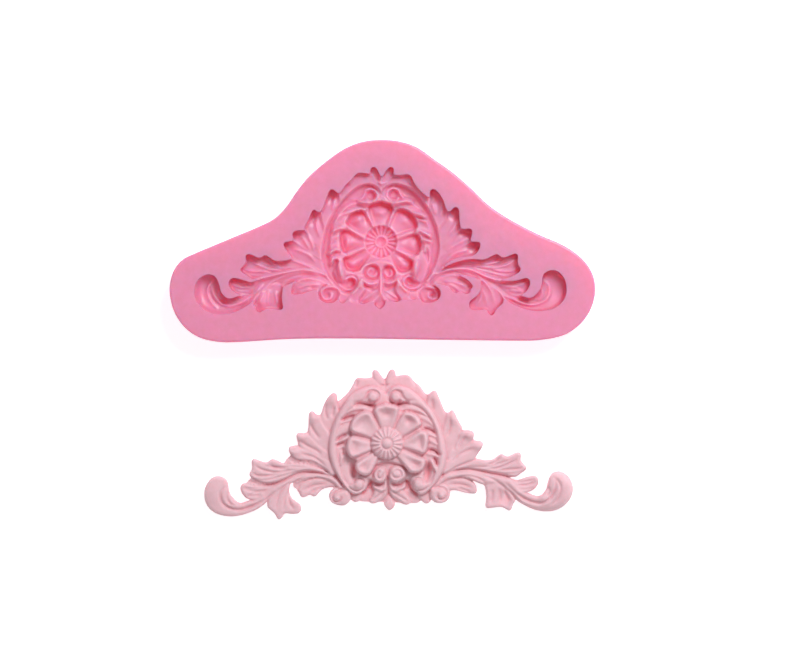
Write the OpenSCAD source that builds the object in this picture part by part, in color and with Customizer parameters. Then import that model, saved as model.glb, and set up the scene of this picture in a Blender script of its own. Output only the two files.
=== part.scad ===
// One-part silicone mould for a scroll and rosette applique, with the casting that it makes.
// The mould lies cavity up. The casting lies beside it, relief up, on its flat back.
// X runs along the length, Y towards the crown of the slab, Z up. The origin is on the
// underside of the mould, straight below the middle of the rosette.

/* [Mould] */
// Length of the mould over its two round ends
mould_l = 120; // [80:1:180]
// Thickness of the silicone slab
slab_t = 11; // [10:0.5:16]
// Thinnest silicone left under the rosette
floor_t = 2.6; // [2:0.1:3]

/* [Relief] */
// Height of the thin webs between the bottom leaves
web_h = 1.4; // [1:0.1:2]
// Height of the outer leaves that fan round the scroll
leaf_h = 3.6; // [3:0.1:4.5]
// Height of the leaves on the two wings
wing_h = 4.4; // [3.5:0.1:5]
// Height of the wing stems and the curls at their ends
curl_h = 5; // [4:0.1:6]
// Height of the scroll round the rosette
scroll_h = 5.6; // [4.5:0.1:6]
// Height of the petals
petal_h = 7.4; // [6:0.1:8]
// Height of the ribbed heart of the rosette, the highest point
heart_h = 8.2; // [7:0.1:8.4]

/* [Casting] */
// Where the casting lies along the length, from the middle of the mould
casting_x = 1.7; // [-10:0.1:10]
// How far in front of the mould the middle of the casting lies
casting_y = 57; // [52:0.5:80]
// Turn of the casting on the table
casting_turn = 1.5; // [-3:0.1:3]

/* [Hidden] */
$fn = 64;
DRAWN_L = 120;                 // the length at which the outlines below are drawn
k = mould_l / DRAWN_L;         // plan scale of slab and ornament together
rosette_r = 11.2;
heart_r = 4.6;

// The slab's outline, clockwise from the crown
SLAB = [
    [0, 28.5], [5, 28.1], [10, 26.5], [15.2, 22.9], [20, 19.5], [25, 15.2], [30, 10.4],
    [35, 6.9], [40, 4.1], [45, 1.6], [50, -0.5], [54, -2.8], [57.3, -5.7], [59.5, -9.2],
    [60.3, -13], [59.8, -17], [58, -21], [55, -24.3], [51, -26.6], [45, -27.8], [38, -28],
    [20, -27.8], [-5, -27.4], [-25, -27.5], [-40, -28.4], [-46, -28.3], [-51, -27.1],
    [-55, -24.4], [-57.8, -20.5], [-59.2, -16], [-59.3, -12], [-58.2, -8.2],
    [-55.8, -5.2], [-52, -3.3], [-47, -1.2], [-41, 1.3], [-35, 3.8], [-30, 6.3],
    [-26.5, 9.8], [-23.5, 14.2], [-20, 18.4], [-15, 22.7], [-10, 26.1], [-5, 28]];

// A closed smooth curve through points, with n steps between each two
function wrap(p, i) = p[(i + len(p)) % len(p)];
function between(a, b, c, d, t) =
    0.5 * (2 * b + (c - a) * t + (2 * a - 5 * b + 4 * c - d) * t * t
           + (3 * b - a - 3 * c + d) * t * t * t);
function smooth(p, n) = [
    for (i = [0 : len(p) - 1], s = [0 : n - 1])
        between(wrap(p, i - 1), p[i], wrap(p, i + 1), wrap(p, i + 2), s / n)];

// One raised shape of the ornament: its outline and its height
module raised(h, points) {
    linear_extrude(h) scale(k) polygon(points);
}

// The left wing, from the scroll out to its curl
module left_wing() {
    raised(curl_h, [
        [-13.5, -10.8], [-16.5, -8.8], [-19, -7.9], [-22, -7.5], [-26, -8.2], [-30, -10],
        [-34, -11.8], [-37, -14.4], [-39.8, -15.3], [-41.5, -15.9], [-42.9, -15.5],
        [-44.3, -14], [-45.1, -12], [-45.4, -10.2], [-46.5, -8.7], [-48.4, -8.1],
        [-50.4, -8.9], [-51.8, -10.9], [-52.3, -13.2], [-51.9, -15.4], [-50.3, -17.8],
        [-47.5, -19.3], [-44, -19.8], [-40.5, -19.2], [-37.3, -17.9], [-34.6, -16],
        [-31, -12.5], [-27.5, -11.2], [-23, -10.3], [-18, -10.4]]);
    raised(wing_h, [
        [-17, -8.4], [-19, -6.9], [-22, -5.7], [-26, -5], [-29.5, -5], [-31, -4.2],
        [-32.6, -3.6], [-34.4, -4.6], [-36.3, -4], [-38, -3.4], [-38.6, -4.2],
        [-38.4, -6.2], [-39.2, -7.4], [-39.1, -8.4], [-37.5, -9.6], [-34, -10.8],
        [-30, -10.2], [-26, -8.4], [-22, -7.7]]);
    raised(wing_h, [
        [-32, -10.6], [-35, -11.1], [-38, -11], [-40.5, -10.4], [-41.5, -10.6],
        [-42, -11.6], [-41.7, -12.9], [-41, -14.1], [-39.8, -14.9], [-37, -15],
        [-33, -13]]);
    raised(wing_h, [
        [-28.1, -10.8], [-28, -13.2], [-27.3, -15], [-25.5, -16.5], [-24.8, -17.4],
        [-25, -18.8], [-26.2, -19.5], [-29.5, -19.3], [-30.2, -20.4], [-31, -21],
        [-31.8, -20.4], [-32.4, -19.3], [-34.3, -17.4], [-34.4, -15.6], [-31, -11.8]]);
    raised(wing_h, [
        [-14, -10], [-20, -9.4], [-23.5, -10.4], [-25, -11.5], [-25.9, -12.7],
        [-25.1, -13.8], [-24.2, -14.9], [-22.2, -14.2], [-21, -14.8], [-20, -14.2],
        [-18.5, -12.7], [-14, -12.2]]);
}

// The right wing; carved by hand, so not quite the left one mirrored
module right_wing() {
    raised(curl_h, [
        [13.5, -11.2], [17.5, -8.8], [20, -8], [23, -7.9], [26, -8.4], [30, -9.6],
        [35, -10.6], [37, -13.2], [39.5, -15.2], [41, -15.9], [42.4, -16.2],
        [43.7, -15.7], [44.8, -14.4], [45.3, -12.6], [46.2, -10.4], [47.3, -9.5],
        [48.8, -9.3], [50.6, -10.1], [52, -12], [52.5, -14.4], [51.9, -16.8],
        [50.3, -18.8], [48, -20.2], [45, -20.8], [41.5, -20.1], [38.5, -18.7],
        [36, -17.4], [32, -13.2], [27.5, -12.6], [24, -11.6], [17, -11.6]]);
    raised(wing_h, [
        [17.5, -8.8], [19.5, -7.4], [23.5, -5.7], [25.2, -5.1], [29.5, -5.4],
        [31.4, -4.4], [32.5, -3.9], [34.1, -4.7], [35.8, -4], [37.3, -3.6],
        [38, -4.3], [37.9, -6], [39.5, -7.9], [39.1, -8.8], [36.4, -10.6],
        [32, -10.1], [26, -8.6], [20, -8.2]]);
    raised(wing_h, [
        [34, -10.5], [36.5, -11.6], [40, -10.5], [41.6, -10.3], [42.6, -11.2],
        [42.6, -12.6], [41.4, -14.3], [39.5, -15.2], [36, -15]]);
    raised(wing_h, [
        [27, -10], [27.6, -14], [27.7, -16.5], [27.4, -18.4], [27.8, -19.3],
        [32, -19.1], [34.3, -20.2], [35, -19.6], [35.5, -18.1], [36, -17.2],
        [33, -13], [29, -10]]);
    raised(wing_h, [
        [16, -10.8], [20, -10.3], [23.5, -11.3], [24.9, -12.5], [25.2, -13.8],
        [25.1, -15], [22, -14.9], [19, -14], [16.5, -14]]);
}

// The leaves that fan out round the left and right of the scroll
module outer_leaves() {
    raised(leaf_h, [
        [0.6, 15.4], [-1.3, 16.7], [-3.6, 18.6], [-7.6, 18.8], [-8.7, 18], [-9.6, 16.1],
        [-12, 13.4], [-13.7, 11.8], [-13.9, 14.2], [-14.8, 14.7], [-16.5, 13.3],
        [-17.9, 10.8], [-18.8, 8.3], [-19.4, 8.3], [-21.2, 9.7], [-21.9, 9.1],
        [-22.4, 3.7], [-25.5, 3.5], [-25.7, 2.6], [-25.1, -0.2], [-27.8, -0.4],
        [-27.9, -1.5], [-26.6, -3.7], [-24, -4.5], [-20.2, -5.2], [-16, -9],
        [-14, -8], [-14, 6], [-8, 13]]);
    raised(leaf_h, [
        [-0.6, 15.4], [1.4, 17.4], [3.6, 19], [6.2, 19.2], [8.2, 17.4], [10, 15.6],
        [11.9, 13], [13.6, 14.6], [14.5, 14.2], [15.8, 10.8], [17, 8], [18.8, 9],
        [19.5, 8.1], [21.5, 3.9], [21.2, 3], [24, 3], [24.8, 2.3], [24.2, 0.1],
        [27, -0.3], [27.3, -1.2], [25, -5.1], [21, -6.8], [17, -9.5], [14, -8],
        [14, 6], [8, 13]]);
    for (side = [-1, 1])
        raised(leaf_h, [
            [side * 0.2, 16.5], [side * 0.5, 19], [side * 1.9, 20.9],
            [side * 3, 20.7], [side * 3.5, 18.5], [side * 2.6, 16.5]]);
}

// The two C-scrolls, back to back, that hold the rosette
module scroll() {
    raised(scroll_h, [
        [0, 14.2], [-1.8, 15.8], [-4.3, 16.3], [-7, 15.6], [-9.5, 14.2], [-12, 11.5],
        [-14.2, 8.2], [-15.8, 4.4], [-16.5, 0], [-16.2, -3.8], [-15.2, -7.3],
        [-13.3, -10.6], [-11, -13.3], [-9.3, -14.1], [-7.6, -13.8], [-6, -12], [0, -12],
        [6, -12], [7.4, -13.9], [9.3, -14.7], [11.2, -14], [13.2, -12.2],
        [15.1, -9.8], [16.4, -7], [16.9, -3.4], [16.4, 1], [15, 5.4], [12.7, 9.4],
        [10, 12.4], [7, 15], [4, 16.1], [1.8, 15.8]]);
}

// The small volutes, pointed tips and palmette along the bottom edge
module bottom_trim() {
    raised(wing_h, [
        [-12, -11.5], [-14.7, -12.3], [-16, -12.9], [-16.9, -14.3], [-16.7, -15.7],
        [-15.7, -16.9], [-13.3, -17.5], [-11.8, -17.2], [-10.5, -14]]);
    raised(wing_h, [
        [11.5, -13], [14, -12], [16.5, -11.8], [17.4, -13.4], [17.6, -15.2],
        [17, -16.6], [15.6, -17.4], [13.2, -17.3], [11.9, -15.8]]);
    raised(leaf_h, [
        [-11.4, -12.5], [-10.9, -15.5], [-9.3, -16.7], [-8.1, -15.8], [-7.2, -13]]);
    raised(leaf_h, [
        [7, -13.5], [9.1, -16.4], [10.4, -17.6], [11.5, -17.4], [12.3, -16], [11.8, -13]]);
    raised(leaf_h, [
        [-6, -11], [-5, -13.5], [-5.4, -16.4], [-4.6, -17.1], [-1.6, -16.9],
        [-0.5, -19.1], [0.5, -19.2], [2, -17.5], [5.2, -17.7], [6.2, -17], [6, -11]]);
    raised(web_h, [[-9, -12], [-9, -16], [0, -16.6], [9, -16.9], [9, -12]]);
}

// The round flower in the middle, with its ribbed heart
module rosette() {
    cylinder(h = petal_h, r = rosette_r * k);
    cylinder(h = heart_h, r = heart_r * k);
}

// The whole ornament, relief up, with its flat back on the ground
module ornament() {
    left_wing();
    right_wing();
    outer_leaves();
    scroll();
    bottom_trim();
    rosette();
}

// The mould: the slab, less the ornament turned over into its top face
module mould() {
    t = max(slab_t, heart_h + floor_t);
    color("#EE95B8") difference() {
        linear_extrude(t) scale(k) polygon(smooth(SLAB, 3));
        translate([0, 0, t]) rotate([0, 180, 0]) ornament();
    }
}

// The casting, lying in front of the mould
module casting() {
    color("#F0C0CC")
        translate([casting_x, -casting_y, 0]) rotate(casting_turn) ornament();
}

mould();
casting();
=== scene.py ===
import math
import bmesh
import bpy
import numpy as np
from mathutils import Matrix, Vector


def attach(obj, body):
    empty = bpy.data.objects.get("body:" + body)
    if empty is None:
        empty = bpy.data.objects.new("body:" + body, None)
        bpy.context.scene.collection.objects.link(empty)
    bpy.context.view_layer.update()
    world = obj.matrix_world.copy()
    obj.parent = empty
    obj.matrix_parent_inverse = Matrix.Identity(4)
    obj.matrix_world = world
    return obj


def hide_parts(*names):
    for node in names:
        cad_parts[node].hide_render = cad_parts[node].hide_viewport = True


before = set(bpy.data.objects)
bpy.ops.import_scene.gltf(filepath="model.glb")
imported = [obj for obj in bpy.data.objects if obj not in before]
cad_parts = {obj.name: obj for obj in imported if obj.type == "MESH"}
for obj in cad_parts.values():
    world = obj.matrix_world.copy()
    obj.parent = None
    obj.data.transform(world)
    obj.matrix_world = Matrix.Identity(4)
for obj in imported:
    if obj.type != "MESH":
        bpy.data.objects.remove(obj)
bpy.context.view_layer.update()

# The table: matt white paper, with soft light all round and one big lamp up behind the mould.
# The camera hangs over the middle of the pair and looks straight down. Its lens is long, so
# hardly any side wall shows.
FACES = 0.008      # how high the ornament stands, where the view is measured
ACROSS = 0.2254    # how much table the view takes in
camera = bpy.data.objects.new("camera", bpy.data.cameras.new("camera"))
bpy.context.collection.objects.link(camera)
camera.data.lens = 150
camera.data.sensor_width = 36
camera.data.clip_end = 10
camera.location = (0.0054, -0.0251, FACES + ACROSS * camera.data.lens / camera.data.sensor_width)
bpy.context.scene.camera = camera
bpy.context.scene.view_settings.view_transform = "Standard"


def lamp(name, place, aim, size, watts):
    """A soft box that hangs at one place and points at another."""
    data = bpy.data.lights.new(name, "AREA")
    data.shape = "RECTANGLE"
    data.size, data.size_y = size
    data.energy = watts
    made = bpy.data.objects.new(name, data)
    made.location = place
    made.rotation_euler = (Vector(aim) - Vector(place)).to_track_quat("-Z", "Y").to_euler()
    bpy.context.collection.objects.link(made)


lamp("key", (0.26, 0.36, 0.62), (0, -0.02, 0), (0.25, 0.25), 4.3)
world = bpy.data.worlds.new("room")
world.use_nodes = True
world.node_tree.nodes["Background"].inputs["Color"].default_value = (1, 1, 1, 1)
world.node_tree.nodes["Background"].inputs["Strength"].default_value = 0.38
bpy.context.scene.world = world


def linear(code):
    """An sRGB hex colour as the linear one that the shader takes."""
    parts = [int(code[i:i + 2], 16) / 255 for i in (1, 3, 5)]
    return [p / 12.92 if p <= 0.04045 else ((p + 0.055) / 1.055) ** 2.4 for p in parts] + [1.0]


def add(tree, kind, settings=(), links=()):
    """One node: its settings by name or by socket, and the links into it."""
    node = tree.nodes.new(kind)
    for key, value in dict(settings).items():
        if isinstance(key, str) and hasattr(node, key):
            setattr(node, key, value)
        else:
            node.inputs[key].default_value = value
    for socket, source in dict(links).items():
        tree.links.new(source, node.inputs[socket])
    return node


def finish(name, colour, roughness):
    """A new material with its shader, ready for its pattern."""
    made = bpy.data.materials.new(name)
    made.use_nodes = True
    shader = made.node_tree.nodes["Principled BSDF"]
    shader.inputs["Base Color"].default_value = linear(colour)
    shader.inputs["Roughness"].default_value = roughness
    return made, made.node_tree, shader


def shown(name, mesh_tool):
    """Turns a finished bmesh into an object in the scene."""
    mesh = bpy.data.meshes.new(name)
    mesh_tool.to_mesh(mesh)
    mesh_tool.free()
    made = bpy.data.objects.new(name, mesh)
    bpy.context.collection.objects.link(made)
    return made


bm = bmesh.new()
bmesh.ops.create_grid(bm, x_segments=4, y_segments=4, size=1.5)
bmesh.ops.translate(bm, verts=bm.verts, vec=(0, 0, -0.0002))
table = shown("table", bm)

# Matt copier paper has no gloss, and is lit until hardly a shadow shows on it
paper, tree, shader = finish("white_paper", "#FAFAFA", 0.9)
shader.inputs["Specular IOR Level"].default_value = 0.1
shader.inputs["Emission Color"].default_value = (1, 1, 1, 1)
shader.inputs["Emission Strength"].default_value = 0.62
table.data.materials.append(paper)

# The relief: an ornament that was carved once, as a master, and then copied twice. The rubber
# was poured over it, so the mould holds its hollow, and the resin fills that and is its copy.
# It is worked as heights in millimetres, seen from the front of the casting.
CELL = 0.2
WIDE, TALL = 53.6, 22.4
COLUMNS, ROWS = 536, 224
X, Y = np.meshgrid(np.linspace(-WIDE, WIDE, COLUMNS + 1), np.linspace(-TALL, TALL, ROWS + 1))
height = np.full(X.shape, -1.0)    # below nought where nothing is carved yet
inward = np.full(X.shape, -9.0)    # how far inside the outline each point lies


def drawn(points, closed=False, steps=5):
    """A smooth line through given points."""
    p = np.array(points, float)
    if closed:
        a, b, c, d = np.roll(p, 1, 0), p, np.roll(p, -1, 0), np.roll(p, -2, 0)
    else:
        q = np.vstack([2 * p[0] - p[1], p, 2 * p[-1] - p[-2]])
        a, b, c, d = q[:-3], q[1:-2], q[2:-1], q[3:]
    out = [0.5 * (2 * b + (c - a) * t + (2 * a - 5 * b + 4 * c - d) * t ** 2
                  + (3 * b - a - 3 * c + d) * t ** 3) for t in np.arange(steps) / steps]
    line = np.stack(out, 1).reshape(-1, 2)
    return line if closed else np.vstack([line, p[-1:]])


def near(line, reach):
    """The part of the surface within reach of a line."""
    low = np.floor((line.min(0) - reach + (WIDE, TALL)) / CELL).astype(int)
    high = np.ceil((line.max(0) + reach + (WIDE, TALL)) / CELL).astype(int) + 1
    low = np.maximum(low, 0)
    return slice(low[1], high[1]), slice(low[0], high[0])


def measure(x, y, line, closed=False):
    """Distance to a line, how far along it from 0 to 1, and on which side of it."""
    after = np.roll(line, -1, 0) if closed else line[1:]
    before = line if closed else line[:-1]
    spans = np.hypot(*(after - before).T)
    runs = np.concatenate([[0], np.cumsum(spans)])
    best, along, side = np.full(x.shape, 1e9), np.zeros(x.shape), np.zeros(x.shape)
    for (ax, ay), (bx, by), span, run in zip(before, after, spans, runs):
        if span < 1e-6:
            continue
        ux, uy = (bx - ax) / span, (by - ay) / span
        t = np.clip((x - ax) * ux + (y - ay) * uy, 0, span)
        off = np.hypot(x - ax - t * ux, y - ay - t * uy)
        nearer = off < best
        best[nearer] = off[nearer]
        along[nearer] = ((run + t) / runs[-1])[nearer]
        side[nearer] = (ux * (y - ay) - uy * (x - ax))[nearer]
    return best, along, np.sign(side)


def within(x, y, loop):
    """Whether each point lies inside a loop."""
    odd = np.zeros(x.shape, bool)
    for (ax, ay), (bx, by) in zip(loop, np.roll(loop, -1, 0)):
        if ay != by:
            odd ^= ((ay > y) != (by > y)) & (x < (bx - ax) * (y - ay) / (by - ay) + ax)
    return odd


def lobe(points, top, edge=1.6, power=2.1, foot=0.5, lean=(0, 0), blend=0.2):
    """A rounded shape that swells from its outline to its top, and may lean to one side."""
    loop = drawn(points, True)
    part = near(loop, 1.6)
    x, y = X[part], Y[part]
    off = measure(x, y, loop, True)[0]
    deep = np.where(within(x, y, loop), off, -off)
    swell = (1 - (1 - np.clip(deep / edge, 0, 1)) ** power) ** (1 / power)
    middle = loop.mean(0)
    full = top + lean[0] * (x - middle[0]) + lean[1] * (y - middle[1])
    z = full * (foot + (1 - foot) * swell)
    old = height[part]
    m = np.clip(0.5 + 0.5 * (old - z) / blend, 0, 1)
    joined = z * (1 - m) + old * m + blend * m * (1 - m)
    height[part] = np.where(deep > 0, np.where(old > 0, joined, z), old)
    inward[part] = np.maximum(inward[part], deep)


def fade(along, ends):
    """How strong a line is along its run, where each end dies away over its own share."""
    gone = np.ones(along.shape)
    if ends[0]:
        gone *= np.clip(along / ends[0], 0, 1) ** 0.7
    if ends[1]:
        gone *= np.clip((1 - along) / ends[1], 0, 1) ** 0.7
    return gone


def crease(points, depth=0.9, wide=0.35, right=None, ends=(0.25, 0.25), sharp=1.5):
    """A cut along a line. Its left bank is wide, and its right bank may differ."""
    line = drawn(points)
    part = near(line, 3.2 * max(wide, right or 0))
    off, along, side = measure(X[part], Y[part], line)
    bank = np.where(side > 0, wide, right or wide)
    height[part] -= depth * fade(along, ends) * np.exp(-(off / bank) ** sharp)


def blade(points, top, wide, ends=(0.15, 0.5), power=2.0, low=0.55, blend=0.15, tilt=0.0):
    """A leaf, rib or curl laid along a line, highest on its middle. A tilt lifts its left."""
    line = drawn(points)
    part = near(line, wide)
    off, along, side = measure(X[part], Y[part], line)
    half = wide * np.maximum(fade(along, ends), 0.05)
    full = top * (1 + tilt * side * np.clip(off / half, 0, 1))
    z = full * (low + (1 - low) * np.clip(1 - (off / half) ** power, 0, 1) ** (1 / power))
    old = height[part]
    m = np.clip(0.5 + 0.5 * (old - z) / blend, 0, 1)
    joined = z * (1 - m) + old * m + blend * m * (1 - m)
    height[part] = np.where((off < half) & (old > 0), joined, old)


def bump(x, y, wide, tall, rise, turn=0, soft=2):
    """A rounded rise, or a hollow where rise is below nought."""
    c, s = math.cos(math.radians(turn)), math.sin(math.radians(turn))
    u = ((X - x) * c + (Y - y) * s) / wide
    v = ((Y - y) * c - (X - x) * s) / tall
    height[:] = height + np.where(height > 0, rise * np.exp(-(u * u + v * v) ** (soft / 2)), 0)


# Webs that join the low tips along the bottom and the top
lobe([(-9, -11), (-8.6, -16), (-4, -16.6), (0, -16.8), (5, -17.2), (9, -16.8), (9.5, -11)], 1.3, 1.0)
lobe([(-1.2, 14), (-0.7, 17.6), (0, 18.2), (0.7, 17.6), (1.2, 14)], 1.5, 0.8)
lobe([(-14, -7), (-17.5, -7.6), (-19, -8.8), (-17, -10.5), (-14, -12), (-12, -10)], 1.8, 1.0)
lobe([(14, -7), (17.5, -7.8), (19, -9), (17, -10.8), (14, -12), (12, -10)], 1.8, 1.0)

# Outer leaves, from the crown down each side
lobe([(0.5, 15.2), (-1.3, 16.6), (-2.5, 17.9), (-3.8, 18.6), (-5.6, 18.6), (-7.6, 18.8), (-8.6, 18.2),
      (-9.2, 16.9), (-10.4, 15.0), (-12, 13.4), (-13.8, 11.6), (-12.6, 9.2), (-9, 11), (-5, 12), (0, 12)],
     2.3, 0.7)
lobe([(-13.7, 11.4), (-13.7, 13), (-13.9, 14.3), (-14.8, 14.7), (-15.8, 14.1), (-16.9, 12.8), (-17.8, 11),
      (-18.3, 9.3), (-18.9, 7.9), (-18.2, 5), (-16.5, 1), (-14, 1), (-13, 7)], 2.8, 0.8, lean=(0.05, 0.05))
lobe([(-18.7, 8.2), (-19.5, 8.4), (-20.3, 9.2), (-21.1, 9.7), (-21.9, 9.1), (-22.1, 7.5), (-22.2, 5.5),
      (-22.4, 3.5), (-21, 0), (-18, -3.5), (-15, -4), (-15.5, 2), (-17.8, 6)], 2.9, 0.8, lean=(0.05, 0.03))
lobe([(-22.3, 3.3), (-23.4, 3.4), (-24.8, 3.6), (-25.6, 3.3), (-25.7, 2.3), (-25.4, 0.9), (-24.9, -0.6),
      (-22, -3), (-18.5, -5.8), (-15.5, -7), (-15.5, -3), (-19, 0)], 2.9, 0.8, lean=(0.04, 0.04))
lobe([(-24.9, -0.3), (-26.5, -0.1), (-27.8, -0.3), (-28.0, -1.3), (-27.5, -2.6), (-26.6, -3.7),
      (-25.5, -4.3), (-24, -4.5), (-22, -4.7), (-20.2, -5.3), (-18.3, -6.6), (-16, -8.9), (-14.5, -8),
      (-15.5, -5), (-19.5, -2.8)], 3.1, 0.8, lean=(0.0, -0.05))
lobe([(-0.5, 15.2), (0.9, 16.8), (2.2, 18.3), (3.6, 19), (5, 19.2), (6.2, 19.2), (7.2, 18.6), (8.2, 17.3),
      (9.8, 15.9), (10.9, 14.3), (12, 12.9), (12.6, 10), (9, 11), (5, 12), (0, 12)], 2.3, 0.7)
lobe([(11.8, 13.0), (12.6, 13.9), (13.5, 14.6), (14.3, 14.4), (15, 12.9), (15.8, 10.9), (16.4, 9.2),
      (17.1, 7.8), (17.5, 4), (16.5, 0), (14, 2), (11.5, 9)], 2.8, 0.8, lean=(-0.05, 0.05))
lobe([(16.9, 8.0), (17.8, 8.2), (18.4, 8.8), (18.9, 8.9), (19.5, 8.1), (20.2, 6.4), (21, 4.9), (21.6, 3.8),
      (21.2, 2.8), (20, -1), (18, -4), (15.5, -4), (15.5, 2), (16.4, 6)], 2.9, 0.8, lean=(-0.05, 0.03))
lobe([(21.0, 2.8), (22.4, 3.1), (23.8, 3.0), (24.8, 2.4), (24.8, 1.4), (24.4, 0.2), (22.5, -2),
      (19, -5), (16.5, -5), (18, -1)], 2.9, 0.8, lean=(-0.04, 0.04))
lobe([(24.0, 0.0), (25.4, 0.0), (26.9, -0.2), (27.4, -1), (26.9, -2.2), (26, -3.4), (25.2, -4.6),
      (24.4, -5.6), (22, -6.4), (19.5, -7.4), (17.5, -8.6), (15.5, -9.2), (15.5, -6), (19, -3.5)],
     3.1, 0.8, lean=(0.0, -0.05))

# Their veins, each a cut that dies away at both ends
for vein in ([(-8.0, 18.2), (-8.1, 17.2), (-8.6, 16.0)],
             [(-16.8, 11.7), (-17.2, 10), (-17.1, 8.6), (-16.6, 7)],
             [(-14.5, 10.9), (-15, 9.2), (-15.3, 7.6)],
             [(-21.6, 6.3), (-21, 4.6), (-20.1, 3.1), (-19, 1.6)],
             [(-24.7, 1.4), (-23.5, 0.4), (-22, -0.5), (-20.2, -1.5), (-18.6, -2.8)],
             [(-24.6, -2.4), (-22.5, -2.9), (-20.8, -3.5), (-19, -4.9), (-17.2, -6.6)],
             [(7.4, 18.2), (8.2, 17), (8.8, 15.8)], [(13.0, 12.4), (13.2, 10.5), (13.5, 8.6)],
             [(18, 7.1), (18.1, 5), (17.8, 3.3), (17.2, 1.4)],
             [(22.6, 1.5), (21.5, 0.3), (20.9, -0.7), (20, -2.2)],
             [(20.8, 2), (20, 0.5), (19.3, -0.7), (18.8, -2.6)],
             [(25, -2), (23, -2.6), (21.5, -3.2), (20, -4), (18.2, -5.9)]):
    crease(vein, 0.6, 0.4)

# The leaf tips stand proudest
for x, y, wide, tall, rise in ((26, -1.6, 1.6, 1.1, 0.8), (23.3, 1.6, 1.5, 1.1, 0.9),
                               (18.7, 6.4, 1.2, 1.5, 0.9), (-26.6, -1.8, 1.6, 1.1, 0.8),
                               (-24.3, 2.2, 1.5, 1.1, 0.9), (-20.8, 7.6, 1.2, 1.5, 0.9),
                               (-15, 12.4, 1.3, 1.5, 0.6), (13.8, 12.4, 1.2, 1.5, 0.6)):
    bump(x, y, wide, tall, rise)

# The pair of buds on the crown
lobe([(-0.2, 16.6), (-0.4, 18), (-1.2, 19.4), (-2.1, 20.5), (-2.9, 20.95), (-3.6, 20.5), (-3.7, 19.4),
      (-3.3, 18.3), (-2, 16.6)], 2.3, 0.7)
lobe([(0.2, 16.6), (0.1, 18), (0.6, 19.5), (1.4, 20.7), (2.2, 20.9), (2.9, 20.3), (3.0, 19.3),
      (2.6, 18), (1.6, 16.6)], 2.3, 0.7)

# Wings. The drooping leaf and the small lobe lie under the stem.
lobe([(-28.2, -10.2), (-28.1, -13), (-27.5, -14.7), (-26.5, -15.7), (-25.4, -16.5), (-24.8, -17.3),
      (-24.8, -18.6), (-25.7, -19.4), (-27.5, -19.5), (-29.5, -19.3), (-30.2, -20.3), (-31, -21.0),
      (-31.8, -20.5), (-32.3, -19.4), (-33.4, -18.3), (-34.4, -17.3), (-34.3, -15.5), (-32.5, -12.8)],
     2.7, 0.7)
lobe([(26.8, -10.5), (27.4, -13), (27.7, -15), (27.7, -16.8), (27.4, -18.4), (27.7, -19.25), (29, -19.3),
      (31, -19.1), (32.2, -19.15), (33.2, -19.7), (34.2, -20.2), (35.0, -19.6), (35.4, -18.3), (36, -17.1),
      (34.5, -14.6), (31, -11)], 2.7, 0.7)
lobe([(-32, -10.8), (-35, -11.1), (-37.5, -11.1), (-39.3, -10.7), (-40.7, -10.3), (-41.6, -10.6),
      (-42, -11.5), (-41.7, -12.9), (-41.0, -14.0), (-39.9, -14.9), (-37, -15.4), (-33, -13.5)], 2.8, 0.8)
lobe([(34, -10.8), (36.3, -11.5), (38, -11.1), (40, -10.5), (41.5, -10.3), (42.5, -10.9), (42.8, -12.1),
      (42.3, -13.4), (41.2, -14.4), (39.4, -15.1), (37, -15.4), (34, -13.5)], 2.8, 0.8)
lobe([(-13, -9.6), (-18, -9.3), (-21, -9.4), (-23.6, -10.3), (-25, -11.4), (-25.95, -12.6), (-25.3, -13.6),
      (-25.1, -14.4), (-24.3, -14.95), (-23.3, -14.7), (-22.3, -14.2), (-21.4, -14.7), (-20.6, -14.7),
      (-20, -14.1), (-19.3, -13.2), (-18, -12.5), (-16, -12.2), (-13.5, -12.6)], 2.1, 0.9)
lobe([(15, -10.5), (18, -10.3), (21, -10.4), (23.5, -11.2), (24.8, -12.4), (25.2, -13.8), (25.1, -14.9),
      (24, -15.1), (22.2, -14.9), (20.8, -14.5), (19, -14.0), (17.5, -14.0), (15, -13)], 2.1, 0.9)
for vein in ([(-41.3, -11.5), (-39.5, -12.3), (-37.5, -12.6), (-35, -12.4), (-33, -11.8)],
             [(-40.2, -14.2), (-38, -13.9), (-36, -13.6)],
             [(-24.4, -12.9), (-22, -11.9), (-20.2, -11.4), (-17.5, -11.2)],
             [(-22.2, -13.9), (-20.6, -12.7), (-18.5, -12)],
             [(29.6, -13.9), (29.4, -16.1), (29, -17.9)], [(31.4, -13.6), (31.7, -15.6), (31.6, -18)],
             [(32.8, -14.3), (33.5, -15.9), (34.4, -17.6)],
             [(42.2, -12), (40.5, -12.6), (39, -13), (36.5, -12.9)],
             [(23.8, -13.4), (21.8, -12.6), (19.6, -12.2), (17, -12.2)],
             [(23.4, -14.6), (21.5, -13.8), (19.5, -13.2)]):
    crease(vein, 0.6, 0.42)

# The stem, which runs out to the curl at each end
lobe([(-12.5, -12.5), (-14.5, -9.8), (-16.8, -8.6), (-19.2, -7.9), (-22, -7.5), (-24, -7.5), (-26, -8.0),
      (-28, -8.9), (-30, -9.8), (-32, -10.7), (-33.8, -12.2), (-36, -14.2), (-38, -15.2), (-39.9, -15.4),
      (-41.5, -15.9), (-42.8, -15.6), (-43.9, -14.6), (-44.8, -13.3), (-45.2, -11.8), (-45.35, -10.3),
      (-45.9, -9.1), (-47.0, -8.35), (-48.4, -8.1), (-49.8, -8.5), (-51, -9.6), (-51.9, -11.2),
      (-52.25, -13.2), (-52, -15.2), (-51.1, -17), (-49.6, -18.4), (-47.6, -19.3), (-45, -19.75),
      (-42.5, -19.6), (-40, -19), (-37.5, -18), (-35.6, -16.8), (-33.8, -15), (-31.5, -12.9),
      (-29, -11.4), (-26, -10.2), (-23, -9.5), (-20, -9.4), (-17.5, -9.9), (-15.3, -11.2), (-14, -12.8)],
     3.1, 1.0, foot=0.55)
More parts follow.
